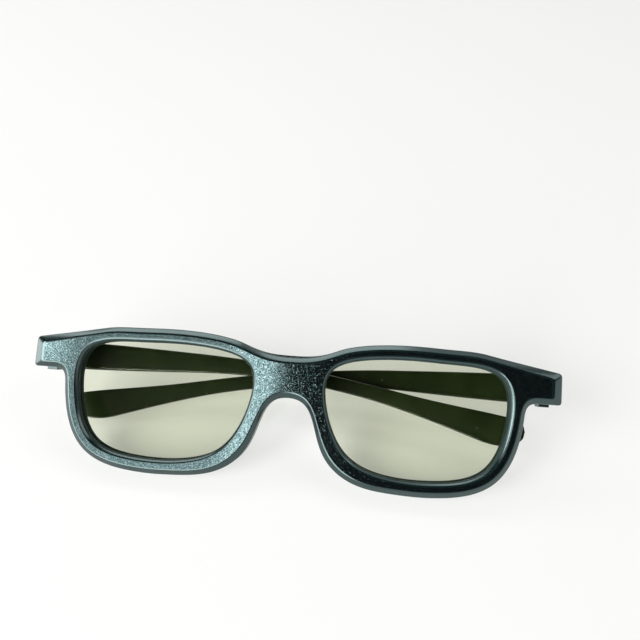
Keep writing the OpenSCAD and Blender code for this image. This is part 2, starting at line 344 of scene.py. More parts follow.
class Recipe:
    """The node tree of a material or of the world."""

    def __init__(self, holder: Holder, coordinates: str = "Object") -> None:
        """Empties the holder's tree and adds the coordinates that its patterns read."""
        holder.use_nodes = True
        self.holder = holder
        self.tree = holder.node_tree
        self.tree.nodes.clear()
        self.coordinates = self.node("ShaderNodeTexCoord").outputs[coordinates]

    @classmethod
    def named(cls, name: str) -> "Recipe":
        """A recipe in a new material of that name."""
        return cls(bpy.data.materials.new(name))

    def node(self, kind: str, settings: Optional[dict[str, Any]] = None,
             sockets: Optional[dict[Any, Any]] = None) -> bpy.types.Node:
        """Adds a node.

        Args:
            kind: The node's type.
            settings: Properties that are set first.
            sockets: Input sockets by name or number, each with a number, colour, socket or Value.

        Returns:
            The new node.
        """
        node = self.tree.nodes.new(kind)
        for key, value in (settings or {}).items():
            setattr(node, key, value)
        for key, value in (sockets or {}).items():
            source = value.socket if isinstance(value, Value) else value
            if isinstance(source, bpy.types.NodeSocket):
                self.tree.links.new(source, node.inputs[key])
            else:
                node.inputs[key].default_value = source
        return node

    def value(self, node: bpy.types.Node, name: str) -> Value:
        """One output of a node, ready for arithmetic."""
        return Value(self, node.outputs[name])

    def share(self) -> Value:
        """The piece's own finish share."""
        return self.value(self.node("ShaderNodeAttribute", {"attribute_name": "finish"}), "Fac")

    def rays(self) -> list[Value]:
        """Three switches, 1 for rays seen straight, in gloss and through film, and 0 for all others."""
        path = self.node("ShaderNodeLightPath")
        return [self.value(path, f"Is {ray} Ray") for ray in ("Camera", "Glossy", "Transmission")]

    def noise(self, size_mm: float, detail: float = 2.0, roughness: float = 0.5,
              stretch: Optional[Place] = None) -> Value:
        """Noise whose features are about size_mm wide.

        Args:
            size_mm: Feature size in millimetres.
            detail: Octaves.
            roughness: Share that each octave keeps.
            stretch: Scale of the coordinates along x, y and z, if they aren't alike.

        Returns:
            The noise, 0 to 1 and mostly near 0.5.
        """
        vector = self.coordinates
        if stretch is not None:
            mapping = self.node("ShaderNodeMapping", {}, {"Vector": vector, "Scale": stretch})
            vector = mapping.outputs["Vector"]
        node = self.node("ShaderNodeTexNoise", {}, {
            "Vector": vector, "Scale": 1.0 / (size_mm * MM), "Detail": detail, "Roughness": roughness,
        })
        return self.value(node, "Fac")

    def _voronoi(self, pitch_mm: float) -> bpy.types.Node:
        """Irregular cells about pitch_mm wide, each with a random colour."""
        sockets = {"Vector": self.coordinates, "Scale": 1.0 / (pitch_mm * MM)}
        return self.node("ShaderNodeTexVoronoi", {}, sockets)

    def _channel(self, cells: bpy.types.Node, name: str) -> Value:
        """One channel of the cells' random colour."""
        return self.value(self.node("ShaderNodeSeparateColor", {}, {0: cells.outputs["Color"]}), name)

    def cells(self, pitch_mm: float) -> Value:
        """One random number, 0 to 1, in each of many irregular cells about pitch_mm wide."""
        return self._channel(self._voronoi(pitch_mm), "Green")

    def specks(self, dust: Dust) -> Value:
        """1 inside a round speck of dust and 0 elsewhere."""
        cells = self._voronoi(dust.pitch_mm)
        chosen = self._channel(cells, "Red").above(1.0 - dust.share, 0.001)
        return chosen * (1.0 - self.value(cells, "Distance").above(0.6 * dust.size, 0.4 * dust.size))

    def mix(self, factor: Value, first: Any, second: Any) -> bpy.types.NodeSocket:
        """Colour between two colours.

        Args:
            factor: 0 gives the first colour and 1 the second.
            first, second: Colours or colour sockets.

        Returns:
            The mixed colour.
        """
        node = self.node("ShaderNodeMix", {"data_type": "RGBA"}, {"Factor": factor})
        for number, colour in ((6, first), (7, second)):
            if isinstance(colour, bpy.types.NodeSocket):
                self.tree.links.new(colour, node.inputs[number])
            else:
                node.inputs[number].default_value = (*colour, 1.0)
        return node.outputs[2]

    def _vector(self, operation: str, first: Any, second: dict[Any, Any]) -> bpy.types.NodeSocket:
        """One Vector Math node on a first vector and its other sockets."""
        return self.node("ShaderNodeVectorMath", {"operation": operation}, {0: first} | second).outputs[0]

    def tipped(self, pitch_mm: float, reach: Value) -> bpy.types.NodeSocket:
        """Normal tipped at random in each of many irregular cells: a random vector is added to it.

        Args:
            pitch_mm: Width of a cell in millimetres.
            reach: Length of the side of the cube that the random vectors fill.

        Returns:
            The normal socket.
        """
        way = self._vector("SUBTRACT", self._voronoi(pitch_mm).outputs["Color"], {1: (0.5, 0.5, 0.5)})
        push = self._vector("SCALE", way, {"Scale": reach})
        plain = self.node("ShaderNodeNewGeometry").outputs["Normal"]
        return self._vector("NORMALIZE", self._vector("ADD", plain, {1: push}), {})

    def bump(self, height: Value, depth_mm: float,
             normal: Optional[bpy.types.NodeSocket] = None) -> bpy.types.NodeSocket:
        """Normal that a height map gives.

        Args:
            height: 0 to 1.
            depth_mm: Real height that 1 stands for.
            normal: The normal to start from, if it isn't the surface's own.

        Returns:
            The normal socket.
        """
        sockets = {"Height": height, "Distance": depth_mm * MM}
        if normal is not None:
            sockets["Normal"] = normal
        return self.node("ShaderNodeBump", {}, sockets).outputs["Normal"]

    def finish(self, shader: bpy.types.Node, output: str = "ShaderNodeOutputMaterial") -> Holder:
        """Links the last shader to an output and returns the material or world."""
        self.node(output, {}, {"Surface": shader.outputs[0]})
        return self.holder


@dataclass(frozen=True)
class GrainedPlastic:
    """Dark moulded plastic: metal flake sparkles in its grained faces, and its bevels are smooth."""

    dark: Rgb = (0.0008, 0.0060, 0.0058)
    light: Rgb = (0.0022, 0.0095, 0.0095)
    dull_flake: Rgb = (0.0128, 0.0325, 0.0320)
    bright_flake: Rgb = (0.103, 0.127, 0.133)
    spec_tint: Rgb = (0.74, 1.0, 0.98)
    dust_colour: Rgb = (0.30, 0.33, 0.31)
    dust: Dust = Dust(pitch_mm=2.6, share=0.10, size=0.06, cover=0.5)
    cloud_mm: float = 6.0
    flake_mm: float = 0.19
    grain_mm: float = 0.25
    grain_depth_mm: float = 0.0012
    tip_mm: float = 0.17
    tip_reach: float = 0.28
    tip_rarity: float = 5.0
    metal: float = 0.95
    rough: float = 0.16
    wall_rough: float = 0.6

    def material(self) -> bpy.types.Material:
        """Builds the material; the finish share is 1 in the grain, 0 on polish and -1 on matt walls."""
        r = Recipe.named("grained_plastic")
        share = r.share()
        grain, matt = share.above(0.0, 1.0), (0.0 - share).above(0.0, 1.0)
        fine = r.noise(self.grain_mm, 3.0, 0.65)
        cloud = r.noise(self.cloud_mm, 3.0, 0.6)
        flake = r.cells(self.flake_mm) ** 2.0 * (0.6 + 0.8 * cloud)
        dust = r.specks(self.dust)
        plain = r.mix(cloud.above(0.35, 0.3), self.dark, self.light)
        sparkle = r.mix(flake, self.dull_flake, self.bright_flake)
        tone = r.mix(dust * self.dust.cover, r.mix(grain, plain, sparkle), self.dust_colour)
        rough = self.rough + 0.04 * cloud - 0.10 * grain + 0.25 * dust + self.wall_rough * matt
        tip = self.tip_reach * grain * (1.0 - r.cells(0.9 * self.tip_mm)) ** self.tip_rarity
        height = fine * (0.15 + 0.85 * grain)
        shader = r.node("ShaderNodeBsdfPrincipled", {}, {
            "Base Color": tone, "Roughness": rough, "IOR": 1.5,
            "Metallic": self.metal * grain * (1.0 - dust),
            "Specular IOR Level": 1.0, "Specular Tint": (*self.spec_tint, 1.0),
            "Normal": r.bump(height, self.grain_depth_mm, r.tipped(self.tip_mm, tip)),
        })
        return r.finish(shader)


@dataclass(frozen=True)
class SatinPlastic:
    """Olive-black plastic of the temples: satin on the inner face, polished on the edges and outside."""

    dark: Rgb = (0.0088, 0.0162, 0.0038)
    light: Rgb = (0.0140, 0.0226, 0.0064)
    dust_colour: Rgb = (0.62, 0.64, 0.60)
    dust: Dust = Dust(pitch_mm=2.2, share=0.22, size=0.065, cover=0.8)
    cloud_mm: float = 9.0
    peel_mm: float = 0.9
    peel_depth_mm: float = 0.004
    smudge_mm: float = 4.0
    smudge_stretch: Place = (0.35, 1.0, 1.0)
    rough: float = 0.26
    coat: float = 0.95

    def material(self) -> bpy.types.Material:
        """Builds the material; the finish share says where it is polished."""
        r = Recipe.named("satin_plastic")
        polish = r.share()
        cloud = r.noise(self.cloud_mm, 3.0, 0.6)
        orange_peel = r.noise(self.peel_mm, 2.0, 0.5)
        smudge = r.noise(self.smudge_mm, 4.0, 0.7, self.smudge_stretch).above(0.5, 0.2)
        dust = r.specks(self.dust)
        tone = r.mix(cloud.above(0.35, 0.3), self.dark, self.light)
        tone = r.mix(dust * self.dust.cover, tone, self.dust_colour)
        rough = self.rough + 0.05 * smudge + 0.05 * cloud - 0.06 * polish + 0.3 * dust
        shader = r.node("ShaderNodeBsdfPrincipled", {}, {
            "Base Color": tone, "Roughness": rough, "IOR": 1.5, "Specular IOR Level": 0.06,
            "Coat Weight": polish * (self.coat - 0.15 * smudge), "Coat Roughness": 0.12, "Coat IOR": 1.6,
            "Normal": r.bump(orange_peel, self.peel_depth_mm),
        })
        return r.finish(shader)


@dataclass(frozen=True)
class ClearFilm:
    """Tinted clear film, whose surface reflects only towards the edge of sight."""

    name: str
    tint: Rgb
    gloss: float = 0.9
    index: float = 1.45
    rough: float = 0.04
    haze_mm: float = 14.0
    haze_dark: Rgb = (0.05, 0.055, 0.045)
    haze_light: Rgb = (0.07, 0.075, 0.06)
    dust: Dust = Dust(pitch_mm=3.0, share=0.16, size=0.05, cover=0.10)

    def material(self) -> bpy.types.Material:
        """Builds the material: a see-through tint at each face, under a reflection that grows aslant.

        The reflection's share is the gloss times a tenth of the film's share square on, plus the rest of it
        times the fifth power of the slant, alike on both sides of a face.
        """
        r = Recipe.named(self.name)
        haze = r.noise(self.haze_mm, 3.0, 0.6)
        dust = r.specks(self.dust)
        clear = r.node("ShaderNodeBsdfTransparent", {}, {"Color": (*self.tint, 1.0)})
        skin = r.node("ShaderNodeBsdfPrincipled", {}, {
            "Base Color": r.mix(haze, self.haze_dark, self.haze_light),
            "Roughness": self.rough + 0.03 * haze, "IOR": self.index,
        })
        square_on = ((self.index - 1.0) / (self.index + 1.0)) ** 2
        aslant = r.value(r.node("ShaderNodeLayerWeight", {}, {"Blend": 0.5}), "Facing")
        share = self.gloss * (0.1 * square_on + (1.0 - square_on) * aslant**5.0) + self.dust.cover * dust
        shader = r.node("ShaderNodeMixShader", {}, {0: share, 1: clear.outputs[0], 2: skin.outputs[0]})
        return r.finish(shader)


@dataclass(frozen=True)
class DrawnSteel:
    """Drawn steel wire of the hinge pins, with fine lines along its length."""

    light: Rgb = (0.50, 0.50, 0.49)
    dark: Rgb = (0.30, 0.30, 0.30)
    line_mm: float = 0.12
    line_stretch: Place = (1.0, 0.2, 0.2)
    line_depth_mm: float = 0.004
    wear_mm: float = 0.8

    def material(self) -> bpy.types.Material:
        """Builds the material."""
        r = Recipe.named("drawn_steel")
        lines = r.noise(self.line_mm, 2.0, 0.6, self.line_stretch)
        wear = r.noise(self.wear_mm, 3.0, 0.6)
        shader = r.node("ShaderNodeBsdfPrincipled", {}, {
            "Base Color": r.mix(wear.above(0.3, 0.4), self.dark, self.light),
            "Metallic": 1.0, "Roughness": 0.25 + 0.2 * lines,
            "Normal": r.bump(lines, self.line_depth_mm),
        })
        return r.finish(shader)


@dataclass(frozen=True)
class PaleFloor:
    """Matt white sheet that the glasses lie on."""

    colour: Rgb = (0.95, 0.955, 0.94)
    cloud_mm: float = 120.0
    cloud_shade: float = 0.985
    lift: float = 0.62
    # painted shade: the smaller white lift for the floor seen straight through the lens films, so it looks
    # darker there
    painted_shade_film_lift: float = 0.46

    def material(self) -> bpy.types.Material:
        """Builds the material: seen straight, in gloss or through film, it is lifted towards white; seen
        straight through the lens films it is lifted less, which paints shade on the floor where it shows
        through the lenses.
        """
        r = Recipe.named("pale_floor")
        cloud = r.noise(self.cloud_mm, 2.0, 0.5)
        shade = tuple(self.cloud_shade * v for v in self.colour)
        sheet = r.node("ShaderNodeBsdfDiffuse", {}, {"Color": r.mix(cloud, self.colour, shade)})
        white = r.node("ShaderNodeEmission", {}, {"Color": (*self.colour, 1.0), "Strength": 1.0})
        camera, gloss, film = r.rays()
        through = r.value(r.node("ShaderNodeLightPath"), "Transparent Depth").above(0.0, 1.0)
        # painted shade: where the floor is seen straight through a film, the lift drops to the smaller one and
        # it looks darker
        lifted = camera * (self.lift - (self.lift - self.painted_shade_film_lift) * through) + (gloss + film) * self.lift
        shader = r.node("ShaderNodeMixShader", {}, {0: lifted, 1: sheet.outputs[0], 2: white.outputs[0]})
        return r.finish(shader)


@dataclass(frozen=True)
class LensLoop:
    """Closed curve round a lens opening, in the upright x and z.

    The curve is a cubic B-spline on control points of a unit shape, stretched to the opening's width and
    height.
    """

    width: float = 49.8
    height: float = 32.2
    gap: float = 20.0
    shape: tuple[Pair, ...] = (
        (1.01, -0.01), (1.02, 0.98), (0.32, 0.97), (-0.1, 1.02), (-0.92, 0.92),
        (-1.06, 0.42), (-0.83, -0.7), (-0.34, -1.0), (0.23, -1.02), (0.82, -0.87),
    )
    measure_steps: int = 8
    steps: int = 24

    @property
    def middle_x(self) -> float:
        """Middle of the opening along x."""
        return (self.gap + self.width) / 2

    def _unit(self, u: np.ndarray) -> tuple[np.ndarray, np.ndarray]:
        """Point and slope of the unit shape at loop positions u, from the four nearest control points."""
        control = np.array(self.shape)
        first = np.floor(u).astype(int)
        t = (u - first)[:, None]
        a, b, c, d = (control[(first + k) % len(control)] for k in (-1, 0, 1, 2))
        point = ((1 - t) ** 3 * a + (3 * t**3 - 6 * t**2 + 4) * b
                 + (1 + 3 * t + 3 * t**2 - 3 * t**3) * c + t**3 * d) / 6
        slope = (-((1 - t) ** 2) * a + (3 * t**2 - 4 * t) * b + (1 + 2 * t - 3 * t**2) * c + t**2 * d) / 2
        return point, slope

    def _stretch(self) -> tuple[np.ndarray, np.ndarray]:
        """Middle of the unit shape, and the scale from it to the opening."""
        loop, _ = self._unit(np.arange(len(self.shape) * self.measure_steps) / self.measure_steps)
        low, high = loop.min(axis=0), loop.max(axis=0)
        return (low + high) / 2, np.array([self.width, self.height]) / (high - low)

    def direction(self, u: np.ndarray) -> np.ndarray:
        """Unit tangent at loop positions u."""
        return unit(self._unit(u)[1] * self._stretch()[1])

    def outward(self, u: np.ndarray) -> np.ndarray:
        """Unit normals of the +X loop at positions u, outwards."""
        along = self.direction(u)
        return np.stack([along[:, 1], -along[:, 0]], axis=-1)

    def at(self, u: np.ndarray, offset: Share = 0.0) -> np.ndarray:
        """Points of the +X opening, grown outwards.

        Args:
            u: Loop positions, one step a control point.
            offset: Distance outwards along the normal, one number or one a point.

        Returns:
            Points in x and z.
        """
        middle, scale = self._stretch()
        point = (self._unit(u)[0] - middle) * scale + np.array([self.middle_x, 0.0])
        return point + self.outward(u) * np.broadcast_to(np.asarray(offset, float), u.shape)[:, None]

    def places(self) -> np.ndarray:
        """Loop positions once round."""
        return np.arange(len(self.shape) * self.steps) / self.steps

    def whole(self, offset: float = 0.0, side: Side = Side.LEFT) -> np.ndarray:
        """The whole loop of one side, grown outwards by offset."""
        return self.at(self.places(), offset) * np.array([side.value, 1.0])

    def opening(self, rows: Rows, side: Side) -> np.ndarray:
        """Grid of points: a profile carried round one side's loop."""
        return carried(rows, lambda offset: self.whole(offset, side))


@dataclass(frozen=True)
class FrontEdge:
    """Outer edge of the front: rims, bridge, end pieces and nose arch.

    Each half follows the lens loop at the rim's width, and cubic curves lead it over the bridge, out to the
    end piece, back under it and into the nose arch. An inset edge is the same construction with every size
    drawn in.
    """

    loop: LensLoop = LensLoop()
    rim_w: float = 4.0
    nose_extra: float = 1.3
    bridge_h: float = 11.2
    arch_z: float = 3.4
    end_len: float = 9.4
    end_h: float = 8.4
    end_z: float = 7.0
    end_fillet: float = 3.4
    bevel_w: float = 1.5
    end_bevel_w: float = 2.5
    corner_r: float = 1.0
    u_bridge: float = 4.0
    u_end_top: float = 1.4
    u_end_under: float = 0.05
    u_nose: float = -3.9
    u_nose_from: float = -2.5
    pull_soft: float = 0.42
    pull_round: float = 0.5
    steps: int = 24
    corner_steps: int = 6

    @property
    def side_x(self) -> float:
        """Outer side of the rim."""
        return self.loop.middle_x + self.loop.width / 2 + self.rim_w

    @property
    def end_x(self) -> float:
        """Outer end of an end piece."""
        return self.side_x + self.end_len

    def _rim(self, u: np.ndarray, inset: float) -> np.ndarray:
        """Points of the rim's outer edge, which widens towards the nose, drawn in by inset."""
        nose = smooth((u - self.u_nose_from) / (self.u_nose - self.u_nose_from))
        return self.loop.at(u, self.rim_w + self.nose_extra * nose - inset)

    def _run(self, u0: float, u1: float, inset: float) -> np.ndarray:
        """The rim's outer edge from one loop position to another."""
        return self._rim(np.linspace(u0, u1, math.ceil(abs(u1 - u0) * self.steps) + 1), inset)

    def _turn(self, before: np.ndarray, corner: np.ndarray, after: np.ndarray) -> np.ndarray:
        """Rounding of a corner between two points on its legs."""
        third = 2.0 / 3.0
        curve = bezier(before, before + third * (corner - before), after + third * (corner - after), after,
                       self.corner_steps)
        return np.concatenate([before[None], curve, after[None]])

    def half(self, inset: float, rise: float = 0.0) -> np.ndarray:
        """Half edge at x >= 0, from the bridge over the end piece to the nose arch.

        Args:
            inset: Distance that the edge is drawn in; the end piece's tip is drawn in by more, in proportion.
            rise: Lift of the edge at the bridge.

        Returns:
            Points in x and z.
        """
        end_inset = inset * self.end_bevel_w / self.bevel_w
        bridge = np.array([0.0, self.arch_z + self.bridge_h + rise - inset])
        top = np.array([self.end_x - end_inset, self.end_z + self.end_h - inset])
        under = np.array([self.end_x - end_inset, self.end_z + inset])
        fillet = np.array([self.side_x + self.end_fillet, self.end_z + inset])
        arch = np.array([0.0, self.arch_z + inset])
        edges = [np.array([u]) for u in (self.u_bridge, self.u_end_top, self.u_end_under, self.u_nose)]
        over, shoulder, below, nose = (self._rim(u, inset)[0] for u in edges)
        d_over, d_shoulder, d_below, d_nose = (-self.loop.direction(u)[0] for u in edges)
        right, down = np.array([1.0, 0.0]), np.array([0.0, -1.0])
        r = self.corner_r
        ahead = unit(top - shoulder)
        top_turn = self._turn(top - r * ahead, top, top + r * down)
        under_turn = self._turn(under - r * down, under, under - r * right)
        return np.concatenate([
            bridge[None],
            sweep(bridge, right, over, d_over, self.pull_soft, self.steps),
            self._run(self.u_bridge, self.u_end_top, inset),
            sweep(shoulder, d_shoulder, top_turn[0], ahead, self.pull_soft, self.steps),
            top_turn,
            under_turn,
            fillet[None],
            sweep(fillet, -right, below, d_below, self.pull_round, self.steps),
            self._run(self.u_end_under, self.u_nose, inset),
            sweep(nose, d_nose, arch, -right, self.pull_soft, self.steps),
            arch[None],
        ])

    def whole(self, inset: float, rise: float = 0.0) -> np.ndarray:
        """The whole edge, both halves, clockwise as seen from the front."""
        half = self.half(inset, rise)
        return np.concatenate([half, half[-2:0:-1] * np.array([-1.0, 1.0])])


def at_depth(outlines: Iterable[np.ndarray], depths: Iterable[float]) -> np.ndarray:
    """Grid of points: one outline in x and z a row, each at its own depth y."""
    return np.stack([
        np.stack([outline[:, 0], np.full(len(outline), y), outline[:, 1]], axis=-1)
        for outline, y in zip(outlines, depths)
    ])


def carried(rows: Rows, outline: Callable[[float], np.ndarray]) -> np.ndarray:
    """Grid of points: a profile carried round an outline.

    Args:
        rows: How far the outline is drawn in or grown, and the depth y, at each row of the profile.
        outline: Gives the outline in x and z, drawn in or grown by a distance.

    Returns:
        Points, rows by columns by 3.
    """
    return at_depth([outline(distance) for distance, _ in rows], [y for _, y in rows])


def turned(end: list[tuple[Share, float]], low: float, high: float, angle: np.ndarray,
           flip: float = 1.0) -> np.ndarray:
    """Grid of points: a profile turned about z, alike at its two ends.

    Args:
        end: Radius, one number or one an angle, and distance in from the end, of each ring at one end.
        low, high: The two ends along z.
        angle: Angles round a ring.
        flip: -1 to mirror the rings in y.

    Returns:
        Points, rows by columns by 3.
    """
    rows = [(radius, low + into) for radius, into in end]
    rows += [(radius, high - into) for radius, into in reversed(end)]
    return np.stack([
        np.stack([radius * np.cos(angle), flip * radius * np.sin(angle), np.full_like(angle, z)], axis=-1)
        for radius, z in rows
    ])


@dataclass(frozen=True)
class Hinge:
    """Sizes of the hinge between the rear frame and a temple, with the pin's place on the +X side."""

    edge: FrontEdge = FrontEdge()
    back_y: float = 4.4
    knuckle_d: float = 3.0
    knuckle_h: float = 2.8
    knuckle_gap: float = 0.15
    clear: float = 0.3
    heel_len: float = 1.7
    root_h: float = 8.2
    temple_t: float = 2.0
    ear_reach: float = 0.4
    drop: float = 0.55
    pin_d: float = 1.2
    bore_clear: float = 0.02
    join: float = 0.4
    chamfer: float = 0.2
    turn_steps: int = 64

    @property
    def temple_w(self) -> float:
        """Distance from the pin's axis to the temple's inner face."""
        return self.knuckle_d / 2 + self.clear

    @property
    def pin(self) -> np.ndarray:
        """Middle of the pin in the upright frame."""
        return np.array([
            self.edge.end_x - self.temple_w - self.temple_t,
            self.back_y + self.heel_len + self.knuckle_gap,
            self.edge.end_z + self.edge.end_h / 2 - self.drop,
        ])

    def barrel(self, low: float, high: float, reach: float) -> np.ndarray:
        """Hinge barrel round the pin with a square foot: a profile carried round the pin.

        At each angle the outline's radius is the barrel's own, or on the foot's side the distance to the
        foot's straight sides and end. The profile runs from the outside over each end into the bore.

        Args:
            low, high: Ends of the barrel along the pin.
            reach: How far the foot reaches along y; negative reaches forwards.

        Returns:
            A grid that closes both ways, in the pin's own x, y and z.
        """
        r = self.knuckle_d / 2
        corner = math.atan2(abs(reach), r)
        angle = np.unique(np.concatenate([
            np.linspace(0, 2 * np.pi, self.turn_steps, endpoint=False), [2 * np.pi - corner, np.pi + corner],
        ]))
        side, end = np.abs(np.cos(angle)), np.abs(np.sin(angle))
        foot = np.minimum(r / np.maximum(side, TINY), abs(reach) / np.maximum(end, TINY))
        outline = np.where(np.sin(angle) >= 0, r, foot)
        bore, c = self.pin_d / 2 + self.bore_clear, self.chamfer
        end = [
            (outline, c), (outline - 0.3 * c, 0.3 * c), (outline - c, 0.0),
            (bore + c / 2, 0.0), (bore, c / 2),
        ]
        return turned(end, low, high, angle, -1.0 if reach > 0 else 1.0)


@dataclass
class FrontShell:
    """Front frame: bevelled face, grained, with both lens openings and their seats."""

    rest: Rest
    edge: FrontEdge = FrontEdge()
    thickness: float = 2.8
    bevel_t: float = 1.2
    eye_bevel: float = 0.7
    soft_r: float = 0.32
    eye_r: float = 0.25
    worn_r: float = 0.49
    worn_top: Pair = (0.6, 0.3)
    worn_flank: Pair = (0.75, 0.2)
    flat_w: float = 0.06
    groove: float = 0.12
    gap: float = 0.01
    seat_t: float = 0.6
    seat_w: float = 1.75
    round_steps: int = 7

    def _outer(self) -> Rows:
        """Inset and depth of the outer profile, from the parting line over the bevel to the face's flat."""
        r, w, t = self.soft_r, self.edge.bevel_w, self.bevel_t
        run, fall = w / math.hypot(w, t), t / math.hypot(w, t)
        back = self.thickness - self.gap
        return [
            (self.groove, back), (0.0, back - self.groove),
            *rounded((0.0, t), (0.0, t + r), (r * run, t - r * fall), self.round_steps),
            *rounded((w, 0.0), (w - r * run, r * fall), (w + r, 0.0), self.round_steps),
            (w + r + self.flat_w, 0.0),
        ]

    def _eye(self, r: float) -> Rows:
        """Offset and depth of a lens opening's profile, from the face into its seat, rounded by r."""
        b = self.eye_bevel
        slope = r * math.sqrt(0.5)
        floor = self.thickness - self.seat_t
        return [
            (b + r + self.flat_w, 0.0),
            *rounded((b, 0.0), (b + r, 0.0), (b - slope, slope), self.round_steps),
            *rounded((0.0, b), (slope, b - slope), (0.0, b + r), self.round_steps),
            (0.0, floor), (self.seat_w, floor), (self.seat_w, self.thickness - self.gap),
        ]

    def _opening(self, side: Side) -> np.ndarray:
        """One lens opening's profile carried round its loop, as a grid.

        The ridge between the face and the bevel is worn rounder along the top, and on the left side's outer
        flank: there the grid goes over from the tight rounding to the worn one, by the direction of the
        loop's normal.

        Args:
            side: The wearer's side.

        Returns:
            Points, rows by columns by 3.
        """
        loop = self.edge.loop
        tight, worn = (loop.opening(self._eye(r), side) for r in (self.eye_r, self.worn_r))
        across, up = loop.outward(loop.places()).T
        flank, top = (
            smooth((lean - start) / run)
            for lean, (start, run) in ((across, self.worn_flank), (up, self.worn_top))
        )
        share = np.maximum(top, flank * (side is Side.LEFT))
        return tight + share[None, :, None] * (worn - tight)

    def build(self) -> bpy.types.Object:
        """Builds the shell: profiles carried round the edge and the openings, with flat sheets between."""
        shell = Surface()
        outer = carried(self._outer(), self.edge.whole)
        grained = np.arange(len(outer)) >= len(outer) - 2
        shell.add_grid(outer, finish=grained[:, None])
        eyes = [self._opening(side) for side in Side]
        wall = 2 * self.round_steps - 3  # the row of the second rounding from which the opening is matt
        for eye in eyes:
            row = np.arange(len(eye))
            shell.add_grid(eye, finish=np.where(row < 2, 1.0, np.where(row < wall, 0.0, -1.0))[:, None])
        shell.add_sheet([outer[-1], *(eye[0] for eye in eyes)], finish=1.0)
        shell.add_sheet([outer[0], *(eye[-1] for eye in eyes)])
        return shell.to_object("front_shell", self.rest)


@dataclass
class RearShell:
    """Rear frame: thinner plate behind the lenses, with the hinge ears."""

    rest: Rest
    edge: FrontEdge = FrontEdge()
    hinge: Hinge = Hinge()
    front_y: float = 2.8
    rise: float = 0.5
    edge_r: float = 0.45
    eye_r: float = 0.35
    flat_w: float = 0.25
    groove: float = 0.12
    gap: float = 0.01
    back_grain: float = 0.6
    round_steps: int = 5

    def _profile(self, start: Rows, r: float) -> Rows:
        """A profile that goes on from its start and turns into the back's flat, rounded by r."""
        back = self.hinge.back_y
        curve = rounded((0.0, back), (0.0, back - r), (r, back), self.round_steps)
        return [*start, *curve, (r + self.flat_w, back)]

    def _to_back(self, share: float, rows: int) -> np.ndarray:
        """Finish of a profile's rows: the given share, and the back's own on the last row."""
        return np.where(np.arange(rows) == rows - 1, self.back_grain, share)[:, None]

    def _ears(self) -> list[np.ndarray]:
        """The two ears of the +X hinge, each a barrel with its foot in the plate."""
        h = self.hinge
        height = (h.root_h - h.knuckle_h) / 2 - h.knuckle_gap
        reach = -(h.pin[1] - h.back_y + h.join)
        spans = ((-h.root_h / 2 - h.ear_reach, -h.root_h / 2 + height), (h.root_h / 2 - height, h.root_h / 2))
        return [h.barrel(low, high, reach) + h.pin for low, high in spans]

    def build(self) -> bpy.types.Object:
        """Builds the plate from profiles and flat sheets, and adds the ears."""
        shell = Surface()
        front = self.front_y + self.gap
        parted = self._profile([(self.groove, front), (0.0, front + self.groove)], self.edge_r)
        outer = carried(parted, lambda inset: self.edge.whole(inset, self.rise))
        plain = self._profile([(0.0, front)], self.eye_r)
        eyes = [self.edge.loop.opening(plain, side) for side in Side]
        for grid, share in ((outer, 0.0), *((eye, -1.0) for eye in eyes)):
            shell.add_grid(grid, finish=self._to_back(share, len(grid)))
        for row, share in ((0, -1.0), (-1, self.back_grain)):
            shell.add_sheet([grid[row] for grid in (outer, *eyes)], finish=share)
        for side in Side:
            for ear in self._ears():
                shell.add_grid(ear * side.mirror, close=True)
        return shell.to_object("rear_shell", self.rest)


@dataclass
class LensFilm:
    """One film of a lens: a thin flat plate with a rounded rim, seated behind the front frame's opening."""

    rest: Rest
    loop: LensLoop = LensLoop()
    lap: float = 1.6
    thickness: float = 0.3
    front_y: float = 2.2
    gap: float = 0.012
    rim_r: float = 0.06
    rings: int = 6

    def build(self, name: str, side: Side, layer: int) -> bpy.types.Object:
        """Builds one film: rings grow from the middle in front, pass the rim and shrink again behind.

        Args:
            name: The piece's name.
            side: The wearer's side.
            layer: 0 for the front film, 1 for the film behind it.

        Returns:
            The new object.
        """
        film = Surface()
        low = self.front_y + layer * self.thickness + self.gap
        high = low + self.thickness - 2 * self.gap
        rim = self.loop.whole(self.lap, side)
        inner = self.loop.whole(self.lap - self.rim_r, side)
        middle = np.array([side.value * self.loop.middle_x, 0.0])
        shares = np.linspace(0.0, 1.0, self.rings)
        front = [middle + share * (inner - middle) for share in shares]
        outlines = [*front, rim, rim, *reversed(front)]
        depths = [low] * self.rings + [low + self.rim_r, high - self.rim_r] + [high] * self.rings
        film.add_grid(at_depth(outlines, depths))
        return film.to_object(name, self.rest)


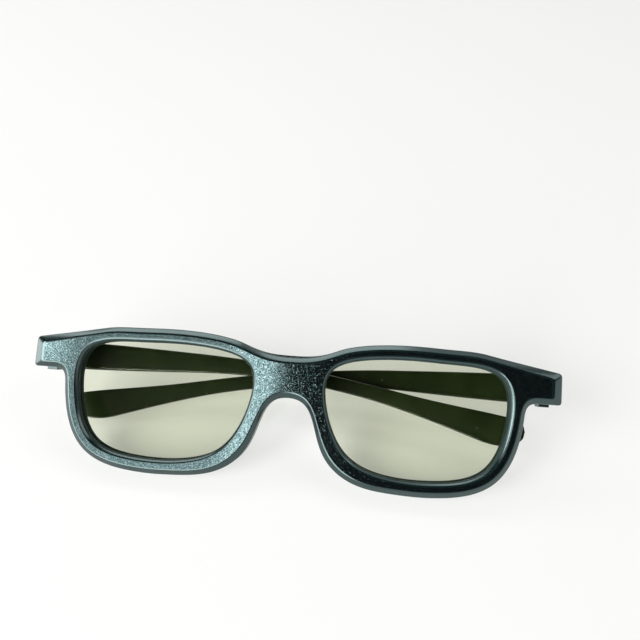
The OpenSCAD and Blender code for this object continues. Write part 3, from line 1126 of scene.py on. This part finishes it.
@dataclass
class Temple:
    """Bowed temple with its hinge knuckle, worked out along its length from the pin."""

    rest: Rest
    hinge: Hinge = Hinge()
    length: float = 134.5
    bow: float = 6.5
    waist_h: float = 4.2
    waist_s: float = 70.0
    tip_h: float = 9.6
    tip_low_len: float = 12.0
    tip_top_len: float = 2.8
    tip_low_share: float = 0.72
    hinge_play: float = 0.5
    bend_s: float = 40.0
    bend_r: float = 260.0
    bend_angle: float = 13.0
    edge_r: float = 0.42
    ledge_r: float = 0.85
    ledge_from: float = 8.0
    ledge_s: float = 46.0
    corner_share: float = 0.98
    end_r: float = 0.7
    heel_steps: int = 6
    steps: int = 150
    end_steps: int = 26
    arc_steps: int = 6

    def _drop(self, s: np.ndarray) -> np.ndarray:
        """Fall of the middle line: none to the bend, a parabola through it, then a straight slope."""
        slope = math.tan(math.radians(self.bend_angle))
        run = self.bend_r * slope
        past = np.clip(s - self.bend_s, 0.0, run)
        return past**2 / (2 * self.bend_r) + np.clip(s - self.bend_s - run, 0.0, None) * slope

    def _edges(self, s: np.ndarray) -> tuple[np.ndarray, np.ndarray]:
        """Lower and upper edge of the side view.

        The height narrows to the waist and grows to the tip. There a long quarter ellipse rounds the lower
        edge and a short one the upper edge, and the two meet above the middle.

        Args:
            s: Places along the temple, from the pin.

        Returns:
            The two edges' heights above the pin's middle.
        """
        root, waist, tip = self.hinge.root_h, self.waist_h, self.tip_h
        fore = root + (waist - root) * smooth(s / self.waist_s)
        after = np.clip((s - self.waist_s) / (self.length - self.waist_s), 0.0, 1.0) ** 2
        plain = np.where(s < self.waist_s, fore, waist + (tip - waist) * smooth(after))
        low_cut, top_cut = (
            1.0 - np.sqrt(1.0 - np.clip((s - self.length) / run + 1.0, 0.0, 1.0) ** 2)
            for run in (self.tip_low_len, self.tip_top_len)
        )
        middle = -self._drop(s)
        return (middle + plain * (self.tip_low_share * low_cut - 0.5),
                middle + plain * (0.5 - (1.0 - self.tip_low_share) * top_cut))

    def _stations(self) -> tuple[np.ndarray, np.ndarray]:
        """Places along the temple, and how far each section is drawn in to round the two ends."""
        turn = np.sin(np.linspace(0.0, np.pi / 2, self.end_steps))
        heel = np.linspace(0, np.pi / 2, self.heel_steps)
        heel_s = -self.hinge.heel_len + self.edge_r * (1.0 - np.cos(heel))
        heel_in = self.edge_r * (1.0 - np.sin(heel))
        plain = np.linspace(heel_s[-1], self.length - self.tip_low_len, self.steps)[1:]
        tip = self.length + self.tip_low_len * (turn[1:] - 1.0)
        past = np.clip((tip - self.length + self.end_r) / self.end_r, 0.0, 1.0)
        tip_in = self.hinge.temple_t / 2 * (1.0 - np.sqrt(1.0 - past**2))
        return (np.concatenate([heel_s[:1], heel_s, plain, tip]),
                np.concatenate([[np.inf], heel_in, np.zeros_like(plain), tip_in]))

    def _arm(self) -> np.ndarray:
        """Arm as a grid: a rounded rectangle carried along the bow, in s, w and z from the pin.

        Both faces are arcs about one centre. The rectangle spans from the inner to the outer face and over
        the side view's height; each corner is a quarter circle, wider at the inner lower edge near the hinge.
        """
        h = self.hinge
        s, drawn = self._stations()
        half = self.length / 2
        radius = (half**2 + self.bow**2) / (2 * self.bow)
        centre = h.temple_w + self.bow - radius
        inner = np.maximum(centre + np.sqrt(radius**2 - (s - half) ** 2), h.temple_w)
        outer = centre + np.sqrt((radius + h.temple_t) ** 2 - (s - half) ** 2)
        low, high = self._edges(np.maximum(s, 0.0))
        middle, tall = (low + high) / 2, (high - low) / 2
        pull = np.minimum(drawn, np.minimum((outer - inner) / 2, np.maximum(tall, TINY)))
        inner, outer, tall = inner + pull, outer - pull, np.maximum(tall - pull, 0.0)
        limit = np.minimum((outer - inner) / 2, tall) * self.corner_share
        near = 1.0 - smooth((s - self.ledge_from) / self.ledge_s)
        ledge = self.edge_r + (self.ledge_r - self.edge_r) * near
        turn = np.linspace(0.0, np.pi / 2, self.arc_steps + 1)
        corners = (
            (inner, middle - tall, 1.0, 1.0, np.pi, ledge),
            (outer, middle - tall, -1.0, 1.0, 1.5 * np.pi, self.edge_r),
            (outer, middle + tall, -1.0, -1.0, 0.0, self.edge_r),
            (inner, middle + tall, 1.0, -1.0, 0.5 * np.pi, self.edge_r),
        )
        columns = []
        for w, z, into_w, into_z, start, size in corners:
            r = np.minimum(size, limit)[:, None]
            columns.append(np.stack([
                np.broadcast_to(s[:, None], (len(s), len(turn))),
                w[:, None] + into_w * r + r * np.cos(start + turn),
                z[:, None] + into_z * r + r * np.sin(start + turn),
            ], axis=-1))
        return np.concatenate(columns, axis=1)

    def _polish(self) -> np.ndarray:
        """Finish share round the section: none on the inner face, full from the edges' rounding on."""
        ramp = np.clip(np.arange(self.arc_steps + 1.0), 0.0, 1.0)
        full = np.ones_like(ramp)
        return np.concatenate([ramp, full, full, ramp[::-1]])[None, :]

    def build(self, name: str, side: Side, fold: float) -> bpy.types.Object:
        """Builds one temple with its knuckle, folded behind the front.

        Args:
            name: The piece's name.
            side: The wearer's side.
            fold: Angle in degrees between the folded temple and the front, positive if its tip points back.

        Returns:
            The new object.
        """
        h = self.hinge
        temple = Surface()
        c, s = math.cos(math.radians(fold)), math.sin(math.radians(fold))
        play = math.radians(self.hinge_play * side.value)
        cp, sp = math.cos(play), math.sin(play)
        tip_down = np.array([[cp, 0.0, -sp], [0.0, 1.0, 0.0], [sp, 0.0, cp]])
        turn = tip_down @ np.array([[c, s, 0.0], [-s, c, 0.0], [0.0, 0.0, 1.0]])
        flip = np.array([-side.value, 1.0, 1.0])
        hang = h.pin * side.mirror
        knuckle = h.barrel(-h.knuckle_h / 2, h.knuckle_h / 2, h.temple_w + h.join)
        temple.add_grid((self._arm() @ turn) * flip + hang, finish=self._polish())
        temple.add_grid((knuckle @ turn) * flip + hang, close=True, finish=1.0)
        return temple.to_object(name, self.rest)


@dataclass
class HingePin:
    """Steel pin through the ears and the knuckle, with chamfered ends."""

    rest: Rest
    hinge: Hinge = Hinge()
    chamfer: float = 0.15
    dish: float = 0.05
    lip: float = 0.02
    turn_steps: int = 40

    def build(self, name: str, side: Side) -> bpy.types.Object:
        """Builds one pin: a profile turned about the hinge axis.

        Args:
            name: The piece's name.
            side: The wearer's side.

        Returns:
            The new object.
        """
        h = self.hinge
        r, c = h.pin_d / 2, self.chamfer
        low, high = -h.root_h / 2 - h.ear_reach, h.root_h / 2
        end = [(0.0, self.dish), (r - 1.6 * c, self.lip), (r - c, 0.0), (r - 0.3 * c, 0.3 * c), (r, c)]
        grid = turned(end, low, high, np.linspace(0, 2 * np.pi, self.turn_steps, endpoint=False))
        pin = Surface()
        pin.add_grid((grid + h.pin) * side.mirror)
        return pin.to_object(name, self.rest)


@dataclass(frozen=True)
class Panel:
    """One soft studio light: a rectangle that faces a point, with a brightness of its own per area."""

    name: str
    middle: Place
    aim: Place
    width: float
    height: float
    level: float

    def hang(self) -> None:
        """Adds the light; its power is four times its area times its level."""
        data = bpy.data.lights.new(self.name, "AREA")
        data.shape = "RECTANGLE"
        data.size, data.size_y = self.width, self.height
        data.energy = 4.0 * self.width * self.height * self.level
        way = Vector(self.aim) - Vector(self.middle)
        turn = way.to_track_quat("-Z", "Y").to_matrix().to_4x4()
        add_object(self.name, data).matrix_world = Matrix.Translation(self.middle) @ turn


@dataclass
class Studio:
    """Floor, soft light and the camera at the photograph's viewing angle."""

    target: Place = (0.00455, 0.04476, 0.0)
    distance: float = 0.18357
    azimuth: float = 5.849
    elevation: float = 48.667
    roll: float = -0.49
    focal_px: float = 520.0
    image_px: float = 640.0
    sensor_mm: float = 36.0
    floor_half: float = 3.0
    clip_start: float = 0.005
    panel_y: float = -1200.0
    world_level: float = 0.05
    wall_top: float = 0.30
    wall_fade: float = 0.20

    def place_camera(self) -> None:
        """Adds the camera: it looks at the target from its azimuth and elevation, turned by the roll."""
        az, el = math.radians(self.azimuth), math.radians(self.elevation)
        back = Vector((math.sin(az) * math.cos(el), -math.cos(az) * math.cos(el), math.sin(el)))
        data = bpy.data.cameras.new("camera")
        data.sensor_width = self.sensor_mm
        data.lens = self.sensor_mm * self.focal_px / self.image_px
        data.clip_start = self.clip_start
        camera = add_object("camera", data)
        aim = (-back).to_track_quat("-Z", "Y").to_matrix().to_4x4()
        turn = Matrix.Rotation(math.radians(self.roll), 4, "Z")
        camera.matrix_world = Matrix.Translation(Vector(self.target) + back * self.distance) @ aim @ turn
        bpy.context.scene.camera = camera

    def lay_floor(self) -> None:
        """Adds the floor, a flat grid of one cell."""
        h = self.floor_half
        mesh = bpy.data.meshes.new("floor")
        mesh.from_pydata([(-h, -h, 0), (h, -h, 0), (h, h, 0), (-h, h, 0)], [], [(0, 1, 2, 3)])
        mesh.materials.append(PaleFloor().material())
        floor = add_object("floor", mesh)

    def light(self, rest: Rest) -> None:
        """Hangs the panels.

        Args:
            rest: How the upright frame lies. The first panels stand parallel to the glasses' front, each a
                millimetre in front of the one before.
        """
        upright = (
            ("key_panel", -700.0, -585.0, 0.80, 0.73, 3.6),
            ("brow_panel", -700.0, -65.0, 0.80, 0.31, 2.2),
            ("edge_panel", -238.0, -430.0, 0.124, 1.04, 7.6),
            ("end_panel", -812.0, 15.0, 0.16, 0.16, 2.7),
            ("low_front_panel", -1000.0, -1225.0, 1.4, 0.55, 7.0),
        )
        for ahead, (name, x, z, width, height, level) in enumerate(upright):
            middle, aim = (tuple(rest.place(np.array([x, y, z]))) for y in (self.panel_y + ahead, 0.0))
            Panel(name, middle, aim, width, height, level).hang()
        centre = (0.0, 0.0, 0.0)
        for panel in (
            Panel("left_panel", (-1.4, -1.13, 0.66), centre, 0.6, 0.85, 3.5),
            Panel("side_panel", (-1.45, -0.64, 1.07), centre, 0.9, 0.8, 7.8),
            Panel("low_panel", (-1.8, -0.27, 0.26), centre, 1.0, 0.5, 2.8),
            Panel("back_panel", (-1.18, 1.56, 1.60), (-1.18, 0.0, 0.0), 2.85, 0.46, 2.8),
            Panel("back_fill_panel", (1.22, 1.56, 1.60), (1.22, 0.0, 0.0), 1.95, 0.46, 0.8),
            Panel("fill_panel", (1.5, 0.5, 1.5), centre, 1.2, 1.0, 1.5),
        ):
            panel.hang()

    def set_world(self) -> None:
        """Sets the world: a dim room, white seen straight, and white low down in gloss and through film."""
        scene = bpy.context.scene
        scene.world = bpy.data.worlds.new("studio")
        r = Recipe(scene.world, "Generated")
        camera, gloss, film = r.rays()
        up = r.value(r.node("ShaderNodeSeparateXYZ", {}, {0: r.coordinates}), "Z")
        wall = camera + (gloss + film) * (1.0 - up.above(self.wall_top, self.wall_fade))
        room = r.node("ShaderNodeBackground", {}, {
            "Color": (1.0, 1.0, 1.0, 1.0), "Strength": self.world_level + (1.0 - self.world_level) * wall,
        })
        r.finish(room, "ShaderNodeOutputWorld")
        scene.view_settings.view_transform = "Standard"


def dress(piece: bpy.types.Object, material: bpy.types.Material, body: str, node: str) -> None:
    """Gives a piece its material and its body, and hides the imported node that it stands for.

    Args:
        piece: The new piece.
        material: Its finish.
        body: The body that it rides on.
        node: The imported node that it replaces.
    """
    piece.data.materials.append(material)
    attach(piece, body)
    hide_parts(node)
    log.info("%s: %d faces, for %s", piece.name, len(piece.data.polygons), node)


def main() -> None:
    """Builds and dresses every piece, then the studio."""
    logging.basicConfig(level=logging.INFO, format="%(message)s")
    hinge = Hinge()
    joints = {joint["child"]: joint for joint in frame["joints"]}
    rest = Rest.from_hinge(joints["left_arm"], hinge.pin[1], hinge.pin[2])
    moulded, satin, steel = GrainedPlastic().material(), SatinPlastic().material(), DrawnSteel().material()
    retarder = ClearFilm("retarder_film", (0.985, 0.99, 0.98)).material()
    polariser = ClearFilm("polariser_film", (0.884, 0.895, 0.826), gloss=0.4).material()
    dress(FrontShell(rest=rest).build(), moulded, "front", "front_frame")
    dress(RearShell(rest=rest).build(), moulded, "front", "rear_frame")
    film, temple, pin = LensFilm(rest=rest), Temple(rest=rest), HingePin(rest=rest)
    for side in Side:
        word = side.word
        for layer, (kind, material, slot) in enumerate((
            ("retarder", retarder, Slot.RETARDER), ("polariser", polariser, Slot.POLARISER),
        )):
            piece = film.build(f"{word}_{kind}_film", side, layer)
            dress(piece, material, "front", f"{word}_{kind}")
        fold = 90.0 - joints[f"{word}_arm"]["range_deg"][1]
        arm = temple.build(f"{word}_temple_arm", side, fold)
        dress(arm, satin, f"{word}_arm", f"{word}_temple")
        dress(pin.build(f"{word}_hinge_pin", side), steel, "front", f"{word}_pin")
    studio = Studio()
    studio.lay_floor()
    studio.light(rest)
    studio.set_world()
    studio.place_camera()


if __name__ == "__main__":
    main()
